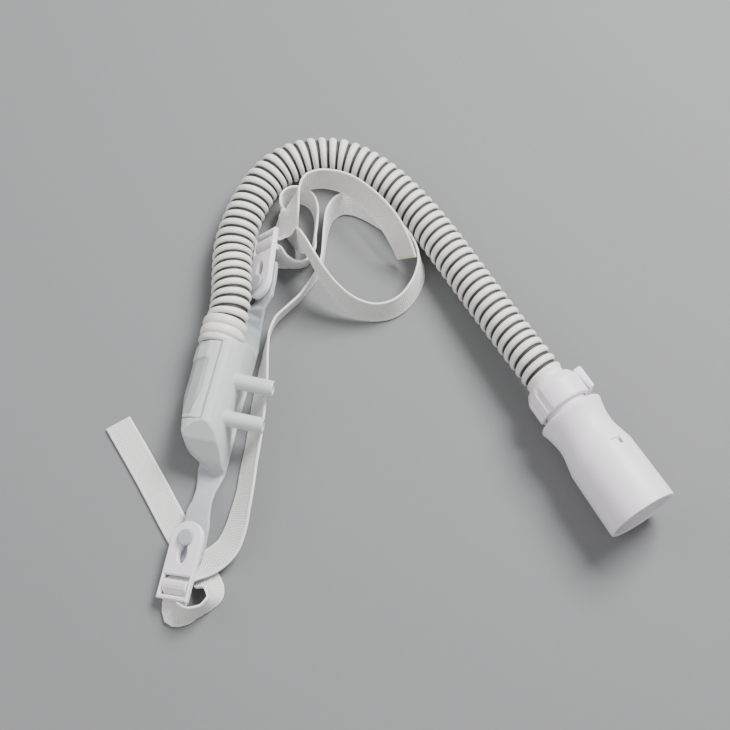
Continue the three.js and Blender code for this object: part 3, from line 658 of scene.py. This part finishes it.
class Finish:
    def __init__(self, name):
        self.material = bpy.data.materials.new(name)
        self.material.use_nodes = True
        self.tree = self.material.node_tree
        self.shader = self.tree.nodes["Principled BSDF"]

    def node(self, kind, settings=None, inputs=None, output=0):
        made = self.tree.nodes.new(kind)
        for key, value in (settings or {}).items():
            setattr(made, key, value)
        for key, value in (inputs or {}).items():
            socket = value.socket if isinstance(value, Maths) else value
            if hasattr(socket, "is_output"):
                self.tree.links.new(socket, made.inputs[key])
            else:
                made.inputs[key].default_value = socket
        return Maths(self, made.outputs[output])

    def place(self):
        return self.node("ShaderNodeTexCoord", output="Object")

    def value(self, name):
        return self.node("ShaderNodeAttribute", {"attribute_name": name}, output="Fac")

    def noise(self, scale, detail=3.0, roughness=0.5, where=None):
        inputs = {"Vector": where or self.place(), "Scale": scale, "Detail": detail, "Roughness": roughness}
        return self.node("ShaderNodeTexNoise", {}, inputs, "Fac")

    def part(self, axis):
        return self.node("ShaderNodeSeparateXYZ", {}, {0: self.place()}, axis)

    def across(self):
        """Millimetres across the nasal piece, from its middle."""
        return self.part("X") * (TURN_COS / MM) + self.part("Y") * (TURN_SIN / MM)

    def along(self):
        """Millimetres along the nasal piece towards the hose, from its middle."""
        return self.part("X") * (-TURN_SIN / MM) + self.part("Y") * (TURN_COS / MM)

    def pointiness(self):
        return self.node("ShaderNodeNewGeometry", output="Pointiness")

    def mixed(self, low, high, share):
        """Colour low where share is 0 and high where it is 1."""
        inputs = {0: share, 6: low, 7: high}
        return self.node("ShaderNodeMix", {"data_type": "RGBA", "clamp_factor": True}, inputs, 2)

    def bump(self, height, strength, depth):
        inputs = {"Strength": strength, "Distance": depth * MM, "Height": height}
        return self.node("ShaderNodeBump", {}, inputs, "Normal")

    def use(self, **sockets):
        for key, value in sockets.items():
            socket = self.shader.inputs[key.replace("_", " ")]
            if isinstance(value, Maths):
                self.tree.links.new(value.socket, socket)
            else:
                socket.default_value = value
        return self.material


def colour(red, green, blue):
    return (red, green, blue, 1.0)


def hose_plastic():
    finish = Finish("hose_plastic_ribs")
    groove = finish.value("groove")
    cloud = finish.noise(38, 3)
    speck = finish.noise(900, 2)
    crest = finish.mixed(colour(0.89, 0.885, 0.845), colour(0.83, 0.825, 0.785), cloud)
    # painted shade: the grooves between the ribs and the bore go near black
    base = finish.mixed(crest, colour(0.045, 0.043, 0.038), groove.above(0.42, 0.85))
    finish.use(Base_Color=base, Roughness=0.34 + cloud * 0.14 + groove * 0.2)
    finish.use(Normal=finish.bump(speck * 0.4 + cloud, 0.25, 0.08))
    return finish.use(
        Subsurface_Weight=0.04, Subsurface_Radius=(0.0012, 0.001, 0.0008), Specular_IOR_Level=0.45
    )


def cuff_plastic():
    finish = Finish("cuff_plastic_rings")
    cloud = finish.noise(60, 3)
    base = finish.mixed(colour(0.88, 0.87, 0.83), colour(0.80, 0.79, 0.74), cloud)
    base = finish.mixed(base, colour(0.72, 0.72, 0.66), finish.value("clear") * 0.9)
    finish.use(Base_Color=base, Roughness=0.3 + cloud * 0.12)
    finish.use(Normal=finish.bump(cloud, 0.2, 0.1))
    return finish.use(Subsurface_Weight=0.3, Subsurface_Radius=(0.004, 0.0035, 0.0025), Specular_IOR_Level=0.5)


# The recessed panel's and the wing arms' places on the nasal piece; the manifold's panel is darkened with
# painted shade
PANEL_FROM = -8.6
PANEL_ALONG = (-9.8, 12.4)
ARM_FROM = 22.5


def milky_plastic():
    finish = Finish("manifold_milky_plastic")
    cloud = finish.noise(70, 4)
    fine = finish.noise(1500, 2)
    # pointiness picks out the sharp edges, for a painted highlight
    edge = finish.pointiness().above(0.52, 0.66)
    across, along = finish.across(), finish.along()
    base = finish.mixed(colour(0.74, 0.765, 0.76), colour(0.81, 0.83, 0.825), cloud)
    # painted shade: the recessed panel is mixed towards a darker grey
    panel = (PANEL_FROM - across).limited()
    panel = panel * (along - PANEL_ALONG[0]).limited() * (PANEL_ALONG[1] - along).limited()
    base = finish.mixed(base, colour(0.56, 0.575, 0.57), panel * 0.8)
    # painted highlight: the sharp edges are mixed towards a paler colour
    base = finish.mixed(base, colour(0.88, 0.90, 0.90), edge * 0.5)
    finish.use(Base_Color=base, Roughness=0.3 + cloud * 0.12)
    finish.use(Normal=finish.bump(fine * 0.5 + cloud, 0.2, 0.08))
    return finish.use(
        Subsurface_Weight=0.35, Subsurface_Radius=(0.004, 0.004, 0.004), Transmission_Weight=0.22, IOR=1.45
    )


def soft_silicone():
    finish = Finish("milky_silicone")
    cloud = finish.noise(55, 4)
    fine = finish.noise(1300, 2)
    # pointiness picks out the sharp edges, for a painted highlight
    edge = finish.pointiness().above(0.52, 0.66)
    arm = (finish.along() - 2).size().above(ARM_FROM, ARM_FROM + 3)
    base = finish.mixed(colour(0.76, 0.78, 0.785), colour(0.83, 0.845, 0.845), cloud)
    base = finish.mixed(base, colour(0.60, 0.64, 0.68), arm)
    # painted highlight: the sharp edges are mixed towards a paler colour
    base = finish.mixed(base, colour(0.88, 0.905, 0.92), edge * 0.5)
    finish.use(Base_Color=base, Roughness=0.34 + cloud * 0.12)
    finish.use(Normal=finish.bump(fine * 0.4 + cloud, 0.2, 0.08))
    return finish.use(
        Subsurface_Weight=0.35, Subsurface_Radius=(0.004, 0.004, 0.0045), Transmission_Weight=0.3, IOR=1.41
    )


def white_moulding(name="pink_white_moulding"):
    finish = Finish(name)
    cloud = finish.noise(30, 3)
    fine = finish.noise(2200, 2)
    scuff = finish.noise(420, 5, 0.7)
    base = finish.mixed(colour(0.93, 0.875, 0.925), colour(0.90, 0.845, 0.90), cloud)
    base = finish.mixed(base, colour(0.84, 0.79, 0.84), scuff.above(0.66, 0.8) * 0.4)
    finish.use(Base_Color=base, Roughness=0.32 + cloud * 0.1 + scuff * 0.12)
    finish.use(Normal=finish.bump(fine, 0.16, 0.05))
    return finish.use(Subsurface_Weight=0.12, Subsurface_Radius=(0.004, 0.003, 0.004), Specular_IOR_Level=0.5)


ROW_PITCH = 0.85
COURSE_PITCH = 0.62
SELVEDGE_FROM = 3.7
SEALED_END = 1.1


def strap_knit():
    """Elastic webbing: fine cross rows, lengthwise courses, paler selvedges and a sealed cream end."""
    finish = Finish("strap_knit")
    run = finish.value("run")
    side = finish.value("side")
    rows = (run * (2 * math.pi / ROW_PITCH)).sine()
    courses = (side * (2 * math.pi / COURSE_PITCH)).sine()
    stagger = ((run * (math.pi / ROW_PITCH)) + (side * (math.pi / COURSE_PITCH))).sine()
    fuzz = finish.noise(1800, 4, 0.65)
    patch = finish.noise(260, 3, 0.6)
    selvedge = side.size().above(SELVEDGE_FROM, SELVEDGE_FROM + 0.5)
    weave = rows * 0.3 + courses * 0.3 + stagger * 0.25 + fuzz * 0.6
    base = finish.mixed(colour(0.70, 0.68, 0.665), colour(0.88, 0.865, 0.85), weave.above(-0.4, 0.85))
    base = finish.mixed(base, colour(0.79, 0.775, 0.76), patch.above(0.5, 0.75) * 0.5)
    base = finish.mixed(base, colour(0.90, 0.89, 0.88), selvedge * 0.75)
    sealed = run.above(strap_length - SEALED_END, strap_length - SEALED_END + 0.6)
    base = finish.mixed(base, colour(0.78, 0.70, 0.50), sealed)
    finish.use(Base_Color=base, Roughness=0.8 + fuzz * 0.15)
    finish.use(Normal=finish.bump(weave * (1.2 - selvedge), 0.8, 0.16))
    return finish.use(Sheen_Weight=0.25, Sheen_Roughness=0.5, Specular_IOR_Level=0.25)


def paint(piece, material):
    piece.data.materials.clear()
    piece.data.materials.append(material)


WHITE = white_moulding()
SILICONE = soft_silicone()
for piece, material in (
    (hose, hose_plastic()), (cuff, cuff_plastic()), (chamber, milky_plastic()), (silicone, SILICONE),
    (connector, WHITE), (sleeve, WHITE), (collar, WHITE), (strap, strap_knit()),
):
    paint(piece, material)
for node in ("buckle_upper", "buckle_lower"):
    for slot in NODES[node].material_slots:
        slot.material = WHITE

for piece, node, slot in (
    (hose, "hose", "hose_plastic"), (cuff, "hose_cuff", "cuff_plastic"),
    (chamber, "manifold", "manifold_plastic"), (silicone, "nasal_piece", "silicone"),
    (strap, "strap", "strap_fabric"), (collar, "collar", "rigid_plastic"),
    (sleeve, "sleeve", "rigid_plastic"), (connector, "connector", "rigid_plastic"),
):
    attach(piece, "connector" if node == "connector" else "cannula")
    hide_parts(node)

tuple(hose_line[0] * MM)
hose_length * MM
[tuple(p * MM) for p in hose_line[::6] + hose_line[-1:]]

bpy.ops.object.select_all(action="DESELECT")
bpy.ops.mesh.primitive_plane_add(size=6, location=(0, 0, -0.0001))
table = bpy.context.object
table.name = "table"
table_finish = Finish("pale_table")
grain = table_finish.noise(420, 3)
table_finish.use(
    Base_Color=table_finish.mixed(colour(0.205, 0.208, 0.212), colour(0.22, 0.223, 0.228), grain),
    Roughness=0.75,
)
paint(table, table_finish.material)


def soft_light(name, place, target, size, power):
    bpy.ops.object.light_add(type="AREA", location=place)
    lamp = bpy.context.object
    lamp.name = name
    lamp.rotation_euler = (Vector(target) - Vector(place)).to_track_quat("-Z", "Y").to_euler()
    lamp.data.size = size
    lamp.data.energy = power


CAMERA_RIGHT = Vector((0.524, 0.852, 0))
CAMERA_UP = Vector((-0.852, 0.524, 0))
MIDDLE = Vector((0.01, 0.04, 0))
soft_light("key", MIDDLE + CAMERA_RIGHT * 0.45 + CAMERA_UP * 0.5 + Vector((0, 0, 0.75)), MIDDLE, 0.45, 21)
soft_light("fill", MIDDLE - CAMERA_RIGHT * 0.8 + CAMERA_UP * 0.1 + Vector((0, 0, 0.6)), MIDDLE, 0.8, 3.5)
soft_light("front", MIDDLE - CAMERA_UP * 0.8 + Vector((0, 0, 0.5)), MIDDLE, 0.8, 2.5)

world = bpy.data.worlds.new("room")
bpy.context.scene.world = world
world.use_nodes = True
world.node_tree.nodes["Background"].inputs["Color"].default_value = (1, 1, 1, 1)
world.node_tree.nodes["Background"].inputs["Strength"].default_value = 0.35
